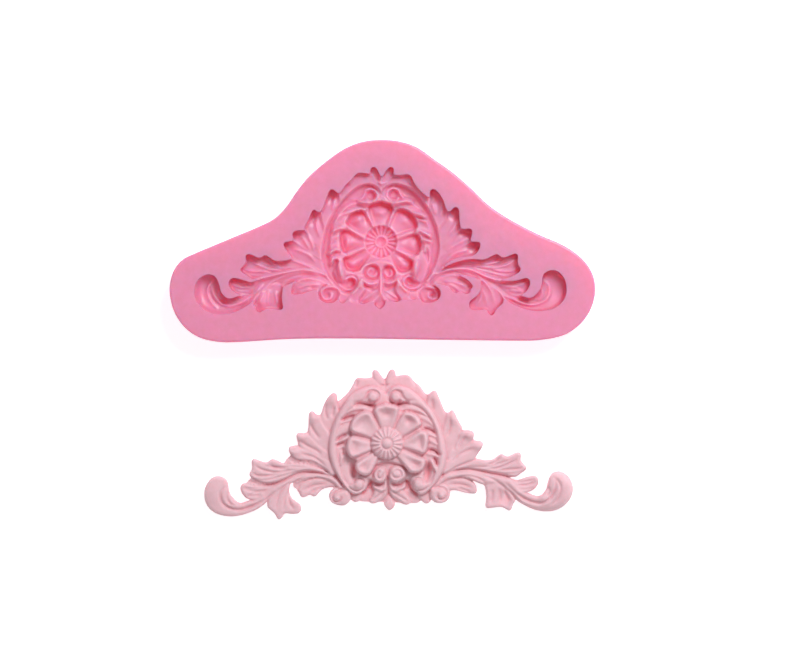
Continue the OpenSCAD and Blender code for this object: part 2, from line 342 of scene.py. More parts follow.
lobe([(12.5, -13), (14.3, -10.6), (16, -9.3), (18, -8.5), (20, -8), (23, -7.8), (26, -8.3), (29, -9.1),
      (32, -9.9), (34.5, -10.7), (36, -12.3), (37.3, -13.9), (38.7, -15), (40.3, -15.5), (42.3, -16.1),
      (43.6, -15.7), (44.7, -14.5), (45.2, -12.9), (45.6, -11.5), (46.2, -10.3), (47.2, -9.5),
      (48.7, -9.3), (50.2, -9.9), (51.5, -11.1), (52.35, -13), (52.5, -15), (51.8, -17), (50.3, -18.8),
      (48.3, -20.1), (46, -20.7), (43.5, -20.6), (41, -20), (38.8, -18.9), (37, -17.8), (35.8, -16.6),
      (34, -14.6), (32, -12.9), (30, -12.3), (27.2, -12.6), (25, -11.8), (22.5, -10.6), (19.5, -10.4),
      (16.5, -11.1), (14.2, -12.8)], 3.1, 1.0, foot=0.55)
for vein in ([(-41, -17.6), (-38.5, -16.8), (-36, -15.8), (-34.2, -14.6), (-32.4, -12.9)],
             [(-45.2, -12.6), (-45.6, -14.4), (-44.9, -15.9), (-43.2, -16.6)],
             [(-17.7, -8.6), (-21.5, -7.9), (-25.4, -8.8), (-28.8, -11), (-30.9, -13.9), (-32.2, -17.7)],
             [(-17.6, -9.6), (-22, -8.6), (-25.4, -9.7), (-27.9, -12.2), (-29.4, -15.6), (-29.9, -18.4)],
             [(-26.7, -11.3), (-28.2, -13.9), (-27.9, -16.5), (-26.7, -18.2)],
             [(33.7, -14.6), (32.4, -12.9), (29.4, -10.8), (24.7, -9.2), (20.5, -8.8), (17, -9.8)],
             [(28.1, -12.8), (26.4, -11.1), (23, -9.9), (18.7, -10.4)],
             [(40.5, -17.9), (38.5, -17.0), (36.7, -15.6), (35, -13.9), (33, -12)],
             [(46.6, -10.6), (48, -11.8), (48.8, -13.5), (48.7, -15.3), (47.6, -17.4), (45.8, -19)],
             [(45.4, -13.5), (45.6, -15.1), (44.8, -16.5)],
             [(40.6, -19.2), (38, -18.2), (35.4, -15.6), (33.8, -13.6)]):
    crease(vein, 0.6, 0.35)

# The round ends of the curls swell, and one drooping leaf is dished
for x, y, wide, tall, rise in ((-49, -13, 3.2, 4.2, 0.8), (49.3, -14, 3.2, 4.2, 0.8),
                               (-43.9, -16.4, 1.4, 1.4, 0.7), (44.2, -17, 1.4, 1.4, 0.7),
                               (37.6, -14.6, 2, 1.2, 0.3), (33.2, -16.8, 1.9, 2.6, -1.2)):
    bump(x, y, wide, tall, rise)

# The upper leaf of each wing lies over the stem and the small lobe
lobe([(-15.5, -9), (-17.4, -7.6), (-19, -6.7), (-20.5, -6.1), (-22, -5.6), (-24, -5.15), (-26, -4.95),
      (-28, -5.15), (-29.5, -5.0), (-30.8, -4.3), (-32.5, -3.6), (-33.5, -4.1), (-34.4, -4.6),
      (-36.3, -4.0), (-37.8, -3.4), (-38.6, -4.0), (-38.5, -5.6), (-38.7, -6.7), (-39.3, -7.6),
      (-39.1, -8.5), (-38.1, -9.3), (-36.4, -10.2), (-34, -10.7), (-32, -10.5), (-30, -9.9), (-28, -9),
      (-26, -8.1), (-24, -7.6), (-22, -7.5), (-19, -7.9), (-17, -8.8)], 3.1, 0.9, foot=0.6)
lobe([(15.5, -9.3), (17.4, -8.3), (19.3, -7.4), (21.5, -6.5), (23.5, -5.7), (25.2, -5.1), (27, -5.4),
      (29, -5.55), (30.3, -5.2), (31.4, -4.4), (32.5, -3.85), (33.4, -4.4), (34.3, -4.7), (35.8, -4.0),
      (37.2, -3.55), (38.05, -4.2), (37.9, -5.8), (38.6, -6.9), (39.5, -7.9), (39.2, -8.7), (38, -9.5),
      (36.5, -10.5), (35, -10.6), (32, -9.9), (29, -9.3), (26, -8.5), (23, -8), (20, -8.1), (17.5, -8.9)],
     3.1, 0.9, foot=0.6)
for vein in ([(-37.7, -5.2), (-36.5, -6.1), (-35.3, -6.7), (-34, -7.1), (-32.5, -7.4), (-31, -7.4),
              (-29, -7.2), (-26, -6.8)],
             [(-33.6, -5.0), (-32.5, -5.8), (-31.3, -6.2), (-30, -6.5), (-28, -6.4)],
             [(-38.5, -7.4), (-37.2, -8.2), (-36, -8.4), (-34.8, -8.4), (-33.5, -8.3), (-31, -7.9)],
             [(36.9, -5.6), (35.2, -6.3), (34, -6.9), (32.5, -7.5), (31, -7.9), (28, -8.1)],
             [(32.2, -4.7), (31.2, -5.5), (30.2, -6.3), (28.2, -6.9)],
             [(38.5, -7.9), (36.5, -8.3), (34, -8.4), (31, -8.7)]):
    crease(vein, 0.7, 0.32)
for vein in ([(-36.8, -4.6), (-34.8, -5.4), (-32.6, -6), (-30, -6), (-26.5, -5.9), (-22, -6.3)],
             [(-38, -8.9), (-35.5, -9.6), (-32.5, -9.2), (-29.5, -8.4), (-26, -7.6), (-22, -7)],
             [(36.2, -4.8), (34.2, -5.8), (31.8, -6.6), (28.6, -7.4), (25, -7.4), (21, -7.2)],
             [(38.2, -9), (35, -9.6), (31.5, -9.3), (28, -8.8), (24.5, -8)],
             [(-41, -11.4), (-38.6, -11.8), (-36, -11.7), (-33.2, -11)],
             [(-40.2, -14.4), (-38.4, -13.2), (-36, -12.9), (-34, -12.6)],
             [(42, -11.3), (39.6, -11.8), (37, -12), (35, -11.6)],
             [(41.4, -13.6), (39.2, -14.1), (37, -14)]):
    crease(vein, 0.45, 0.25)

# A deeper fold under each upper leaf, and one above the left
crease([(-39, -9.1), (-36.5, -10.4), (-34, -10.9), (-32, -10.7), (-30, -10.1), (-28, -9.2), (-26, -8.3),
        (-24, -7.8), (-22, -7.7), (-19, -8.1), (-16.5, -9.0)], 1.1, 0.35, 0.5, ends=(0.05, 0.1))
crease([(37.6, -10.2), (36.3, -11), (35, -10.7), (33, -10.2), (30, -9.6), (26, -8.7), (23, -8.1),
        (20, -8.2), (17.5, -9)], 1.1, 0.5, 0.35, ends=(0.05, 0.1))
crease([(-28.2, -3.0), (-27, -4.1), (-26, -4.6), (-24, -4.9), (-22.5, -5.1), (-21, -5.7), (-20, -6.3),
        (-18, -7.3), (-16.4, -8.2)], 0.8, 0.4, ends=(0.05, 0.1))

# Tips and curls along the bottom
lobe([(-11.6, -12.5), (-11.1, -15.2), (-10.3, -16.2), (-9.3, -16.7), (-8.4, -16.3), (-7.8, -15.2),
      (-7.0, -13)], 1.9, 0.8)
lobe([(7, -13.2), (8.3, -15.3), (9.3, -16.6), (10.3, -17.5), (11.3, -17.5), (12, -16.6), (12.2, -14.8),
      (11.6, -13)], 1.9, 0.8)
lobe([(-12, -12), (-13.3, -12.4), (-14.7, -12.3), (-16, -12.9), (-16.85, -14.1), (-16.75, -15.5),
      (-16, -16.6), (-14.8, -17.2), (-13.3, -17.5), (-11.9, -17.2), (-10.9, -16), (-10.6, -14)], 3.5, 1.4)
lobe([(12, -13.2), (13.4, -12.4), (15.2, -12.0), (16.6, -12.6), (17.3, -13.6), (17.6, -14.9), (17.2, -16.3),
      (16.1, -17.2), (14.7, -17.5), (13.2, -17.3), (12.2, -16.4), (11.7, -15)], 3.5, 1.4)
crease([(-11.6, -13.2), (-13, -12.9), (-14.6, -13.2), (-15.7, -14.2), (-15.8, -15.4), (-15, -16.2),
        (-13.9, -16.1), (-13.4, -15.3), (-13.9, -14.6)], 1.1, 0.35, ends=(0.2, 0.2))
crease([(12.4, -13.5), (14, -12.9), (15.6, -13.1), (16.6, -14.1), (16.5, -15.4), (15.6, -16.3),
        (14.3, -16.1), (13.9, -15.2), (14.5, -14.5)], 1.1, 0.35, ends=(0.2, 0.2))
bump(-14.4, -15.2, 0.8, 0.8, 0.6)
bump(14.9, -15.2, 0.8, 0.8, 0.6)

# The palmette under the rosette, and its collar
lobe([(-4.6, -11), (-4.2, -13), (-4.5, -14.6), (-5.5, -16.1), (-4.9, -17.1), (-3.4, -17), (-1.9, -16.2),
      (-0.6, -15), (0, -13.5), (0, -11)], 2.5, 0.8)
lobe([(5.2, -11), (4.4, -13), (4.9, -14.2), (6.2, -16), (6.2, -17.2), (5.1, -17.8), (3.6, -17.3),
      (2.1, -16.3), (0.7, -15), (0, -13.5), (0, -11)], 2.5, 0.8)
lobe([(0.1, -14.6), (-0.6, -16.3), (-1.35, -17.3), (-0.7, -18.5), (0.2, -19.25), (1, -18.8), (1.9, -17.8),
      (1.2, -16.4)], 1.9, 0.6)
lobe([(-4.7, -9.6), (-4.7, -11.4), (-4.4, -12.6), (-3.5, -13.2), (-2.1, -13.9), (-0.7, -13.5), (-0.2, -12),
      (-0.2, -9.6)], 3.4, 0.9, foot=0.6)
lobe([(4.9, -9.6), (5, -11.6), (4.9, -12.9), (3.8, -13.4), (2.3, -14.2), (1, -13.7), (0.2, -12.2),
      (0.2, -9.6)], 3.4, 0.9, foot=0.6)
for vein in ([(-5.1, -16.4), (-3.6, -15.4), (-2, -14.4), (-0.8, -13)],
             [(-3.6, -16.9), (-2.2, -15.7), (-1, -14.4)],
             [(5.8, -16.9), (4.2, -15.8), (2.4, -14.7), (1, -13.2)],
             [(4.3, -17.5), (2.8, -16.3), (1.3, -14.9)],
             [(-0.1, -9), (-0.1, -12), (0.1, -15), (0.2, -17)],
             [(-4.6, -12.2), (-3.3, -12), (-1.8, -12.6), (-0.7, -12.1)],
             [(4.9, -12.4), (3.6, -12.2), (2.1, -12.9), (0.9, -12.3)]):
    crease(vein, 0.5, 0.3)

# The big scroll: a low ground, and on it a band that curls in at both ends
lobe([(0, 14), (-0.7, 15), (-2.3, 15.95), (-4.3, 16.3), (-7, 15.6), (-9.5, 14.2), (-12, 11.3),
      (-13.9, 8.6), (-15.3, 5.6), (-16.3, 2.6), (-16.65, -0.6), (-16.4, -3.6), (-15.6, -6.4),
      (-14.4, -8.8), (-12.9, -11.1), (-11.4, -13.1), (-9.9, -14.1), (-8.2, -14.0), (-6.7, -13.2),
      (-5.8, -11.8), (-3, -10), (0, -9.6), (3, -10), (5.8, -11), (6.4, -12.7), (7.6, -14.0), (9.4, -14.8),
      (11.3, -14), (13, -12.4), (14.8, -10.2), (16.1, -7.8), (16.8, -5), (16.85, -2), (16.3, 1.2),
      (15.4, 4.2), (14, 7.3), (12.3, 10), (10, 12.5), (7, 15.2), (4, 16.2), (2.1, 15.9), (0.7, 15)],
     3.5, 1.0, foot=0.75)
lobe([(-3.2, 15.95), (-5.5, 15.9), (-8, 14.9), (-10.5, 12.9), (-12.5, 10.3), (-14.0, 7.7), (-15.2, 4.8),
      (-16.1, 1.8), (-16.45, -1.5), (-16.1, -4.2), (-15.3, -6.8), (-14.1, -9.1), (-12.7, -11.3),
      (-11.1, -13.2), (-9.6, -14.05), (-8, -13.9), (-6.6, -13.2), (-5.8, -12), (-5.7, -10.7), (-6.6, -9.4),
      (-8.2, -9.0), (-9.6, -9.8), (-10.2, -11.2), (-11.4, -11.3), (-12.6, -9.5), (-13.4, -7), (-14, -4),
      (-14.1, -1), (-13.9, 2), (-13.3, 4.6), (-12.2, 6.9), (-11, 8.9), (-9.3, 10.2), (-7, 10.9),
      (-4.9, 11.1), (-3.2, 11), (-1.9, 11.6), (-1.1, 12.8), (-1.2, 14.3), (-1.9, 15.4)], 4.7, 1.3, foot=0.75)
lobe([(2.6, 15.9), (4.4, 15.95), (7, 14.9), (10, 12.3), (12.1, 9.9), (13.7, 7.3), (15.1, 4.2), (16, 1.2),
      (16.6, -2), (16.55, -5), (15.9, -7.7), (14.6, -10), (12.9, -12.2), (11.2, -13.8), (9.4, -14.55),
      (7.7, -13.9), (6.6, -12.7), (6.1, -11.2), (6.9, -9.8), (8.5, -9.3), (10, -9.9), (10.8, -11.2),
      (11.9, -11), (13, -9.2), (13.8, -7), (14.3, -4), (14.3, -1), (14, 2), (13.3, 4.6), (12.3, 6.9),
      (10.8, 8.9), (9, 10.2), (6.9, 10.8), (4.9, 11), (3, 10.8), (1.6, 11.5), (0.8, 12.7), (0.9, 14.2),
      (1.5, 15.3)], 4.7, 1.3, foot=0.75)

# The curled ends of the band, each with its eye
for eye, turns in (((-3.6, 13.2), [(-9.6, 11.9), (-7, 12), (-5.6, 13.1), (-4.9, 14.5), (-3.5, 15),
                                   (-2.1, 14.2), (-1.8, 12.8), (-2.8, 11.6), (-4.3, 11.6), (-5, 12.6)]),
                   ((2.9, 13), [(8.9, 12), (6.2, 11.9), (4.8, 12.9), (4.2, 14.3), (2.9, 14.8), (1.5, 14.1),
                                (1.1, 12.7), (2, 11.5), (3.5, 11.4), (4.2, 12.4)]),
                   ((-8.2, -11.4), [(-12.8, -9), (-11.8, -11.2), (-10.2, -12.9), (-8.3, -13.2), (-6.8, -12.2),
                                    (-6.7, -10.7), (-7.8, -9.8), (-9.2, -10.2), (-9.7, -11.3)]),
                   ((8.5, -11.7), [(12.9, -9.6), (12.1, -11.6), (10.4, -13.3), (8.6, -13.6), (7.1, -12.6),
                                   (7, -11), (8.1, -10.1), (9.6, -10.5), (10, -11.6)])):
    crease(turns, 1.3, 0.36, ends=(0.45, 0.05))
    bump(*eye, 1.35, 1.35, 0.7, soft=5)

# Pairs of small curls under the rosette
lobe([(-0.3, -9.2), (-0.6, -7.4), (-1.7, -6.6), (-3.1, -7), (-4, -8.2), (-4, -9.7), (-3.2, -10.8),
      (-1.8, -11), (-0.7, -10.4)], 5.6, 1.0, foot=0.6)
lobe([(0.3, -9.2), (0.5, -7.5), (1.6, -6.5), (3.2, -6.5), (4.6, -7.4), (5.1, -8.9), (4.5, -10.3),
      (3, -11), (1.5, -10.9), (0.6, -10.2)], 5.6, 1.0, foot=0.6)
crease([(-0.9, -7.9), (-1.6, -9.6), (-2.6, -9.8), (-3.1, -8.9), (-2.6, -7.9), (-1.9, -8.3)], 0.9, 0.35)
crease([(0.9, -7.9), (1.5, -9.5), (2.8, -9.9), (3.8, -9.1), (3.4, -7.9), (2.5, -7.7), (2.2, -8.6)], 0.9, 0.35)

# The long curl's outer side slopes gently up to the rim, and a fold runs down the middle of both
crease([(45.4, -9.8), (47.4, -8.6), (50.6, -9.2), (52.8, -11.6), (53.4, -14.6), (52.5, -18), (50.2, -20.4),
        (46.5, -21.5), (42.5, -21), (39, -19.6)], 2.0, 1.6, ends=(0.15, 0.25), sharp=2)
crease([(-45.9, -10.9), (-47.4, -12.6), (-47.3, -15.2), (-45.4, -17.1), (-42, -17.8), (-38.6, -16.9),
        (-36, -15.2)], 0.9, 0.35)
crease([(47.3, -11.4), (47.6, -13), (46.9, -15.2), (45.2, -17.3), (42.6, -18.2), (39.2, -17.1),
        (36.7, -15.2)], 0.9, 0.4)

# Leaflets that spring from behind the rosette and turn down over the ground
for spine, top, wide in (([(-4.4, 9.7), (-6.8, 10.3), (-9.2, 9.9), (-11.8, 8.5)], 4.3, 0.9),
                         ([(-8.9, 7.4), (-10.8, 6.9), (-13.2, 5.9)], 4.3, 0.7),
                         ([(-9.4, 5), (-11.3, 4.6), (-13, 3.6), (-14.7, 1.7)], 4.3, 1.4),
                         ([(-10.8, 2.1), (-12.4, 1.4), (-14.7, 0.2)], 4.3, 0.7),
                         ([(-11.2, -0.6), (-12.3, -2.2), (-13, -4), (-13.3, -6.2)], 4.3, 0.9),
                         ([(4.2, 9.9), (6.6, 9.9), (9.2, 9.1), (11.6, 7.4)], 4.3, 0.9),
                         ([(8.6, 7.3), (10.4, 6.9), (12.2, 5.7), (13.3, 4.4)], 4.0, 0.8),
                         ([(10.7, 2.9), (12.4, 2.2), (14.3, 1.1)], 4.0, 0.7),
                         ([(11.3, 1), (12.7, 0.3), (14.3, -1)], 4.0, 0.8),
                         ([(11.9, -3.3), (13.3, -3.5), (15.1, -5)], 4.0, 0.8),
                         ([(12.6, -5.8), (13.5, -7.4), (13.9, -9.2)], 4.8, 0.8)):
    blade(spine, top, wide, ends=(0.0, 0.55), low=0.78)

# Cuts that part the leaflets from each other and from the curls
for line, depth, wide in (([(-9.4, 10.9), (-6.9, 11.4), (-3.3, 10.6)], 1.2, 0.35),
                          ([(-13.1, 6.7), (-11, 7.5), (-8.7, 8)], 1.1, 0.33),
                          ([(-14.6, 0.9), (-12.9, 2), (-11.3, 2.9)], 0.6, 0.3),
                          ([(-14.6, -0.5), (-13.2, 0.2), (-11.8, 0.4)], 0.7, 0.3),
                          ([(-12.5, -0.9), (-12.3, -3.3)], 0.8, 0.4),
                          ([(2.8, 10.8), (4.6, 11.2), (6.8, 11.2)], 1.2, 0.35),
                          ([(10.3, 4), (12.2, 3.5), (14.1, 2.4)], 0.9, 0.3),
                          ([(11.3, -2.7), (12.8, -2.3), (15.2, -4)], 1.1, 0.35),
                          ([(13, -4.2), (13.7, -5.4), (14, -6.9)], 0.9, 0.35),
                          ([(-5.3, -10.2), (-3.8, -11.3), (-2.2, -11.8), (-0.8, -11.3)], 1.1, 0.35),
                          ([(0.7, -11.4), (2.2, -12), (4, -11.7), (5.4, -10.4)], 1.1, 0.35),
                          ([(6.0, -11.4), (7.0, -13.4), (8.5, -15.1)], 0.8, 0.35),
                          ([(-5.4, -11.6), (-6.6, -13.3), (-8, -14.6)], 0.7, 0.3)):
    crease(line, 1.8 * depth, 1.2 * wide)

# The ground sinks deepest beside the lower petals and behind the curls
for x, y, wide, tall, sink, lie in ((-9.8, -7.6, 0.9, 2.2, 2.2, 8), (11.3, -8.4, 0.9, 2.6, 2.2, -12),
                                    (-5.2, -11.4, 0.8, 1.4, 1.4, 20), (5.9, -11.6, 0.8, 1.5, 1.4, -20),
                                    (-4.0, 10.4, 1.2, 0.7, 1.0, 10), (4.2, 10.4, 1.2, 0.7, 1.0, -10)):
    bump(x, y, wide, tall, -sink, lie, 3)


def petal(points):
    """A cupped petal: a lip round its outer end, and a floor that runs in to the heart."""
    loop = drawn(points, True)
    part = near(loop, 1)
    x, y = X[part], Y[part]
    off = measure(x, y, loop, True)[0]
    deep = np.where(within(x, y, loop), off, -off)
    out = np.clip((np.hypot(x, y) - 4.8) / 5, 0, 1)
    wall = np.sqrt(1 - (1 - np.clip(deep / 0.8, 0, 1)) ** 2)
    lip = np.exp(-((deep - 0.8) / 0.9) ** 2)
    z = 4.8 + 0.9 * wall + out * (0.3 * wall + 0.8 * lip)
    height[part] = np.where(deep > 0, np.maximum(z, height[part]), height[part])


# The rosette: seven cupped petals round a ribbed heart
lobe([(0, 9.5), (3.8, 9.2), (6.4, 7.6), (9.6, 4.1), (10, 2.6), (9.8, -3.6), (9, -5), (7, -6.6), (4, -6.4),
      (0, -5.4), (-3.6, -6.2), (-7, -6.8), (-9.2, -4.6), (-10, -3.4), (-10, 2.6), (-9.4, 3.8), (-6.4, 7.6),
      (-3.8, 9.1)], 4.9, 0.9, foot=0.7)
for rim in ([(-1.2, 2.6), (-2, 4.9), (-2.8, 7.2), (-3.5, 9.2), (-3.2, 10.1), (-2.4, 10.7), (-1.2, 11.0),
             (-0.2, 11.4), (1, 11.1), (2.3, 10.8), (3.4, 10.2), (3.7, 9.4), (3.1, 7.2), (2.3, 5), (1.2, 2.6)],
            [(1.6, 2.4), (2.7, 5), (3.7, 6.8), (4.5, 8.2), (5.3, 8.8), (7.1, 8.6), (8.7, 7.6), (9.6, 6.2),
             (9.8, 5), (9, 4.2), (7, 3), (4.6, 1.7), (2.5, 0.9)],
            [(2.5, 0.1), (4.7, 0.7), (7, 2), (9, 3.2), (10.3, 3.3), (11.3, 2.7), (11.7, 1.3), (11.5, -1),
             (10.9, -2.7), (9.9, -3.3), (8.6, -2.8), (6.6, -2.1), (4.8, -1.5), (2.5, -0.9)],
            [(2.3, -1.3), (4.6, -2.1), (6.8, -3.1), (8.8, -4.1), (10.2, -4.4), (10.7, -5.6), (10.2, -7.4),
             (8.9, -8.4), (7.4, -8.6), (6.2, -8.2), (4.8, -6.6), (3.2, -4.5), (1.6, -2.5)],
            [(-1.5, -2.5), (-2.7, -4.5), (-3.6, -6.3), (-4.4, -7.8), (-5.3, -8.7), (-7, -8.8), (-8.4, -8),
             (-9.1, -6.7), (-9, -5.4), (-8.1, -4.8), (-6.4, -3.7), (-4.4, -2.6), (-2.4, -1.4)],
            [(-2.5, -0.9), (-4.6, -2), (-6.7, -2.9), (-8.8, -3.7), (-10.1, -3.8), (-11.1, -2.7),
             (-11.5, -0.8), (-11.1, 1.1), (-10.2, 2.1), (-9, 2.1), (-6.8, 1.4), (-4.6, 0.7), (-2.5, 0.3)],
            [(-2.5, 0.9), (-4.6, 1.5), (-7, 2.4), (-9.2, 3.1), (-10.2, 3.9), (-10.3, 5.2), (-9.6, 6.9),
             (-8.2, 8.3), (-6.5, 9.2), (-5, 9.2), (-4, 8.4), (-3, 6.4), (-2.2, 4.6), (-1.4, 2.4)]):
    petal(rim)

# The petals are cupped deepest near their tips
for x, y, wide, tall, sink, lie in ((0.1, 8.2, 1.4, 0.9, 0.9, 0), (6.2, 6.3, 1.3, 1.0, 0.9, -45),
                                    (9.4, 0.1, 0.8, 1.5, 0.6, 0), (7.9, -6, 1.4, 0.9, 0.6, -35),
                                    (-6.6, -6.2, 1.3, 0.9, 0.3, 35), (-8.9, -0.9, 0.8, 1.5, 0.3, 0),
                                    (-6.8, 6, 1.4, 1.0, 0.5, 45)):
    bump(x, y, wide, tall, -sink, lie)

# The heart: a dome with eighteen ribs, a button on top, and a groove round each
r = np.hypot(X, Y)
turn = np.arctan2(Y, X)
ribs = 0.4 * np.cos(18 * turn) * np.clip((r - 1.5) / 0.6, 0, 1)
dome = 5.4 + 2.3 * np.sqrt(np.clip(1 - (r / 4.8) ** 2, 0, 1)) + ribs + 0.4 * np.exp(-(r / 0.9) ** 2)
height[r < 4.5] = np.maximum(height, dome)[r < 4.5]
height[:] = height - 0.6 * np.exp(-((r - 1.55) / 0.25) ** 2)
height[:] = height - 0.15 * np.exp(-((r - 4.6) / 0.25) ** 2)


def blurred(field, reach):
    """Three box averages, each reach cells to a side."""
    for axis in (0, 1, 0, 1, 0, 1):
        pad = [(reach + 1, reach) if n == axis else (0, 0) for n in (0, 1)]
        total = np.cumsum(np.pad(field, pad, mode="edge"), axis=axis)
        size = 2 * reach + 1
        field = (np.take(total, range(size, total.shape[axis]), axis)
                 - np.take(total, range(total.shape[axis] - size), axis)) / size
    return field


def wider(mask):
    """The mask, grown by one cell to each side."""
    grown = mask.copy()
    for shift, axis in ((1, 0), (-1, 0), (1, 1), (-1, 1)):
        grown |= np.roll(mask, shift, axis)
    return grown


# Pinholes between the shapes are closed, since rubber and resin can't be drawn through them.
# The outside is what can be reached from the edge of the sheet.
outside = np.zeros(X.shape, bool)
outside[0, :] = True
while True:
    grown = wider(outside) & (inward <= 0)
    if (grown | outside == outside).all():
        break
    outside |= grown

# Heights run on past the outline for a few cells, and every edge is softened as a pour
# softens it
known = inward > 0
spread = np.where(known, height, 0)
for step in range(4):
    weight = blurred(known.astype(float), 1)
    spread = np.where(known, spread, blurred(spread, 1) / np.maximum(weight, 1e-6))
    known = weight > 1e-3
    spread = np.where(known, spread, 0)
inner = ~wider(wider(outside))
inward = np.where(inner, np.maximum(inward, 0.5), np.where(outside, inward, np.maximum(inward, 0.02)))
soft = np.array([1, 2, 1]) / 4
for axis in (0, 1):
    spread = sum(w * np.roll(spread, n - 1, axis) for n, w in enumerate(soft))
THINNEST, PROUDEST = 0.6, 8.15
height = np.clip(spread, THINNEST, PROUDEST)
slope_y, slope_x = np.gradient(inward, CELL)


# The mould: one slab of platinum-cure silicone rubber, poured over the master in a bell-shaped
# frame and peeled off once it had set. Its back is flat and rests on the table, its rim is
# soft, and the cavity in its top is the casting seen in a mirror.
THICK = 11.0
SLAB = [
    (0, 28.5), (5, 28.1), (10, 26.5), (15.2, 22.9), (20, 19.5), (25, 15.2), (30, 10.4),
    (35, 6.9), (40, 4.1), (45, 1.6), (50, -0.5), (54, -2.8), (57.3, -5.7), (59.5, -9.2),
    (60.3, -13), (59.8, -17), (58, -21), (55, -24.3), (51, -26.6), (45, -27.8), (38, -28),
    (20, -27.8), (-5, -27.4), (-25, -27.5), (-40, -28.4), (-46, -28.3), (-51, -27.1),
    (-55, -24.4), (-57.8, -20.5), (-59.2, -16), (-59.3, -12), (-58.2, -8.2),
    (-55.8, -5.2), (-52, -3.3), (-47, -1.2), (-41, 1.3), (-35, 3.8), (-30, 6.3),
    (-26.5, 9.8), (-23.5, 14.2), (-20, 18.4), (-15, 22.7), (-10, 26.1), (-5, 28)]
RIM = 0.1    # the edge of the ornament stands this far inside the foot of its wall


def at_point(field, x, y):
    """The field's value between its cells."""
    u, v = (x + WIDE) / CELL, (y + TALL) / CELL
    i, j = min(int(u), COLUMNS - 1), min(int(v), ROWS - 1)
    u, v = u - i, v - j
    low = field[j, i] * (1 - u) + field[j, i + 1] * u
    high = field[j + 1, i] * (1 - u) + field[j + 1, i + 1] * u
    return float(low * (1 - v) + high * v)


def even(verts):
    """Draws the corners of an open edge into a smoother line."""
    for turn in range(5):
        moved = []
        for v in verts:
            ends = [e.other_vert(v).co for e in v.link_edges if e.is_boundary]
            moved.append(v.co.lerp(sum(ends, Vector()) / len(ends), 0.5))
        for v, place in zip(verts, moved):
            v.co = place


def carve(painted_light):
    """The relief as a sheet of small faces, cut off along its outline. Each corner carries painted
    shade, and on the mould painted highlight too, in its hollow layer. The corners on the cut slide
    onto the outline, and take that painted light from a little way inside it. The corners next
    to them keep a fixed step away."""
    bm = bmesh.new()
    bmesh.ops.create_grid(bm, x_segments=COLUMNS, y_segments=ROWS, size=1)
    bmesh.ops.scale(bm, vec=(WIDE, TALL, 1), verts=bm.verts)
    hollow = bm.verts.layers.float.new("hollow")
    cell = {}
    for v in bm.verts:
        cell[v] = (int(round((v.co.y + TALL) / CELL)), int(round((v.co.x + WIDE) / CELL)))
    gone = [f for f in bm.faces if sum(inward[cell[v]] for v in f.verts) < 0]
    bmesh.ops.delete(bm, geom=gone, context="FACES")
    for v in bm.verts:
        at = cell[v]
        deep = inward[at]
        back = 2 * CELL if v.is_boundary else 0
        v[hollow] = at_point(painted_light, v.co.x + back * slope_x[at], v.co.y + back * slope_y[at])
        aim = RIM if v.is_boundary else max(deep, RIM + 0.7 * CELL)
        steep = max(0.5, slope_x[at] ** 2 + slope_y[at] ** 2)
        v.co.x -= slope_x[at] * (deep - aim) / steep
        v.co.y -= slope_y[at] * (deep - aim) / steep
        v.co.z = at_point(height, v.co.x, v.co.y)
    even([v for v in bm.verts if v.is_boundary])
    return bm


def walled(bm, level):
    """Walls from the edge of the relief to one level, crisp where they start. They lean out
    a little, as they must to come free. Gives back their far edges."""
    hollow = bm.verts.layers.float["hollow"]
    rim = [e for e in bm.edges if e.is_boundary]
    grown = bmesh.ops.extrude_edge_only(bm, edges=rim)["geom"]
    far = [g for g in grown if isinstance(g, bmesh.types.BMVert)]
    for v in far:
        x, y = v.co.x, v.co.y
        v.co.x -= RIM * at_point(slope_x, x, y)
        v.co.y -= RIM * at_point(slope_y, x, y)
        v.co.z = level
        v[hollow] = 0
    even(far)
    for e in rim:
        e.smooth = False
    return [g for g in grown if isinstance(g, bmesh.types.BMEdge) and g.is_boundary]


# The floor of the cavity is the relief turned over. Its painted light is how far each point sinks
# below what is round it, once by fine detail and once by whole leaves: painted shade, darker and
# redder, where the cavity sinks deepest, and painted highlight, paler, on its ridges.
sunk = np.where(outside, 0, height)
cavity_shade_and_highlight = 0.25 * (sunk - blurred(sunk, 2)) + 0.09 * (sunk - blurred(sunk, 5))
cavity_shade_and_highlight *= np.clip(1 + inward, 0, 1)
bm = carve(cavity_shade_and_highlight)
bmesh.ops.scale(bm, vec=(1, 1, -1), verts=bm.verts)
bmesh.ops.translate(bm, verts=bm.verts, vec=(0, 0, THICK))
mouth = walled(bm, THICK)
bmesh.ops.scale(bm, vec=(-1, 1, 1), verts=bm.verts)

# The slab is drawn up from its outline, its rims are rounded, and its top is laid again as a
# face with the mouth of the cavity in it
ring = [bm.verts.new((x, y, 0)) for x, y in drawn(SLAB, True, 4)]
base = bm.faces.new(ring)
walls = bmesh.ops.extrude_face_region(bm, geom=[base])
top_ring = [g for g in walls["geom"] if isinstance(g, bmesh.types.BMVert)]
top = [g for g in walls["geom"] if isinstance(g, bmesh.types.BMFace)][0]
bmesh.ops.translate(bm, verts=top_ring, vec=(0, 0, THICK))
for face, offset, rows in ((top, 0.6, 3), (base, 0.5, 2)):
    bmesh.ops.bevel(bm, geom=list(face.edges), offset=offset, segments=rows, profile=0.5,
                    affect="EDGES", material=-1)
lid = max((f for f in bm.faces if len(f.verts) > 50), key=lambda f: f.calc_center_median().z)
lid_edges = list(lid.edges)
bmesh.ops.delete(bm, geom=[lid], context="FACES_ONLY")
filled = bmesh.ops.triangle_fill(bm, use_beauty=True, use_dissolve=False,
                                 edges=mouth + lid_edges)
flat = set(g for g in filled["geom"] if isinstance(g, bmesh.types.BMFace))
for f in bm.faces:
    f.smooth = f not in flat and len(f.verts) < 50
bmesh.ops.recalc_face_normals(bm, faces=bm.faces)
bmesh.ops.scale(bm, vec=(0.001, 0.001, 0.001), verts=bm.verts)
mould = shown("mould_rubber", bm)


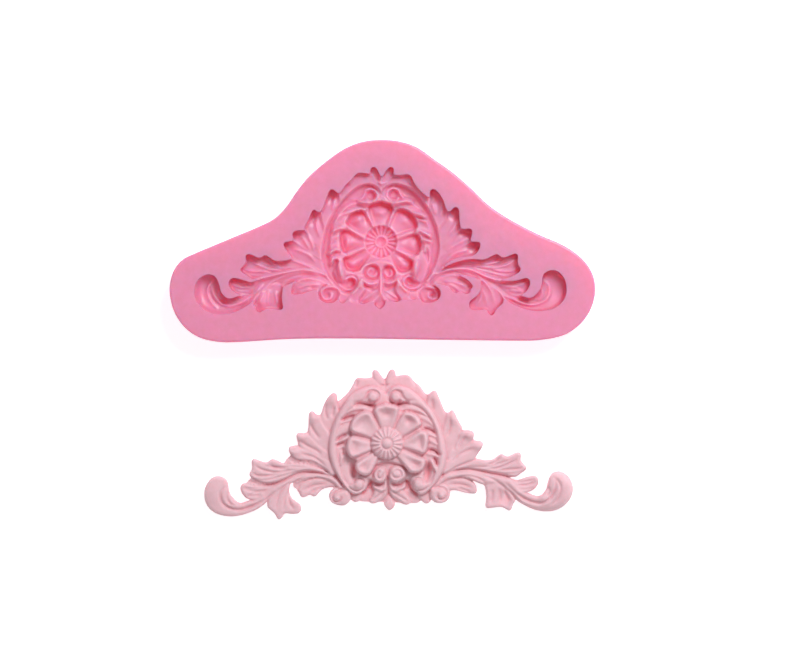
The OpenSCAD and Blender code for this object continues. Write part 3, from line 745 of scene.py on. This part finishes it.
def ramp(node, *stops):
    """Sets a colour ramp from pairs of place and colour."""
    while len(node.color_ramp.elements) < len(stops):
        node.color_ramp.elements.new(0.5)
    for stop, (at, code) in zip(node.color_ramp.elements, stops):
        stop.position = at
        stop.color = linear(code)


def skin(tree, shader, colour_stops_with_painted_light, grain, patch, rise):
    """Colour by how hollow the surface is: painted shade in the hollows, and painted highlight on the
    ridges where the stops below the middle are paler. Mottled in patches, with a fine relief on top.
    """
    place = add(tree, "ShaderNodeTexCoord").outputs["Object"]
    hollow = add(tree, "ShaderNodeAttribute", {"attribute_name": "hollow"})
    depth = add(tree, "ShaderNodeMapRange", {"From Min": -0.8, "From Max": 0.8},
                {"Value": hollow.outputs["Fac"]})
    painted_light = add(tree, "ShaderNodeValToRGB", links={"Fac": depth.outputs[0]})
    ramp(painted_light, *colour_stops_with_painted_light)
    cloud = add(tree, "ShaderNodeTexNoise", {"Scale": 1 / patch, "Detail": 3.0, "Roughness": 0.7},
                {"Vector": place})
    turn = add(tree, "ShaderNodeMapRange",
               {"From Min": 0.3, "From Max": 0.7, "To Min": 0.493, "To Max": 0.507},
               {"Value": cloud.outputs["Fac"]})
    light = add(tree, "ShaderNodeMapRange",
                {"From Min": 0.3, "From Max": 0.7, "To Min": 1.03, "To Max": 0.97},
                {"Value": cloud.outputs["Fac"]})
    mottled = add(tree, "ShaderNodeHueSaturation", links={
        "Hue": turn.outputs[0], "Value": light.outputs[0], "Color": painted_light.outputs["Color"]})
    tree.links.new(mottled.outputs["Color"], shader.inputs["Base Color"])
    fine = add(tree, "ShaderNodeTexNoise", {"Scale": 1 / grain, "Detail": 2.0}, {"Vector": place})
    bumps = add(tree, "ShaderNodeBump", {"Strength": 0.5, "Distance": rise},
                {"Height": fine.outputs["Fac"]})
    tree.links.new(bumps.outputs["Normal"], shader.inputs["Normal"])


# Pigmented silicone, cast and never polished: a satin skin with a soft sheen, not a gloss.
# Light goes 8 mm deep and comes back redder, which reddens the folds of the cavity; they are also
# painted a deep pink as shade, and its ridges painted pale as highlight. The pigment clouds in
# patches of 2 mm. The skin's own grain is about 0.1 mm, too fine to show, and is drawn at 0.6 mm and 0.04 mm
# high.
rubber, tree, shader = finish("platinum_silicone", "#E69ABC", 0.34)
shader.inputs["Specular IOR Level"].default_value = 0.45
shader.inputs["Subsurface Weight"].default_value = 0.9
shader.inputs["Subsurface Radius"].default_value = (1.0, 0.06, 0.1)
shader.inputs["Subsurface Scale"].default_value = 0.0085
# The first stop paints highlight on the ridges, the last two paint shade in the folds of the cavity
skin(tree, shader, ((0.3, "#FFB0C6"), (0.5, "#E89ABC"), (0.62, "#E681A2"), (0.85, "#E0567E")),
     grain=0.0006, patch=0.0022, rise=0.00004)
mould.data.materials.append(rubber)
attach(mould, "mould")
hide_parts("mould")

# The casting: quick-setting resin, tinted pale rose, poured level with the top of the mould and
# knocked out once it was hard. Its face is the relief and its back is flat. It lies face up
# before the mould, turned by a hair, 57 mm from it.
AWAY = (1.7, -57, 0)
TURNED = 1.5

# Between the roots of one wing's leaves the resin ran together into a thin web
for web in ([(-27.3, -2.8), (-29.4, -5.3), (-26.5, -6.4), (-17.5, -8.5), (-16.6, -7.2), (-24.3, -3.4)],
            [(-38.4, -8.7), (-40.4, -11.2), (-36, -12), (-33.8, -11.1), (-36, -9.8)],
            [(-27, -10.9), (-25.9, -12.4), (-21.9, -10.4), (-20.5, -9.6), (-24, -9.3)]):
    lobe(web, 1.6, 0.8)
slope_y, slope_x = np.gradient(inward, CELL)
# Painted shade: the creases of the casting, where it sinks below what is round it, are painted a deeper rose
bm = carve(0.36 * (blurred(height, 2) - height) + 0.03 * (blurred(height, 6) - height))
foot = walled(bm, 0)
back = bmesh.ops.triangle_fill(bm, use_beauty=True, use_dissolve=False, edges=foot)
flat = set(g for g in back["geom"] if isinstance(g, bmesh.types.BMFace))
for f in bm.faces:
    f.smooth = f not in flat
bmesh.ops.recalc_face_normals(bm, faces=bm.faces)
place = Matrix.Translation(AWAY) @ Matrix.Rotation(math.radians(TURNED), 4, "Z")
bmesh.ops.transform(bm, matrix=Matrix.Scale(0.001, 4) @ place, verts=bm.verts)
casting = shown("resin_casting", bm)

# Polyurethane casting resin, tinted in the cup: chalky and nearly matt, since it copies the skin
# of the rubber, with a little light under the surface. Its hollows are painted a deeper rose as
# shade. The tint clouds in patches of 1.6 mm, and its 0.1 mm grain is drawn at 0.5 mm, 0.05 mm high, to show.
resin, tree, shader = finish("tinted_resin", "#EDBFC9", 0.6)
shader.inputs["Specular IOR Level"].default_value = 0.25
shader.inputs["Subsurface Weight"].default_value = 0.3
shader.inputs["Subsurface Radius"].default_value = (1.0, 0.5, 0.5)
shader.inputs["Subsurface Scale"].default_value = 0.002
# The stops past the middle paint shade into the creases
skin(tree, shader, ((0.5, "#ECC2CB"), (0.6, "#E8B3BC"), (0.75, "#E296A2"), (0.92, "#C66678")),
     grain=0.0005, patch=0.0016, rise=0.00005)
casting.data.materials.append(resin)
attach(casting, "casting")
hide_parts("casting")
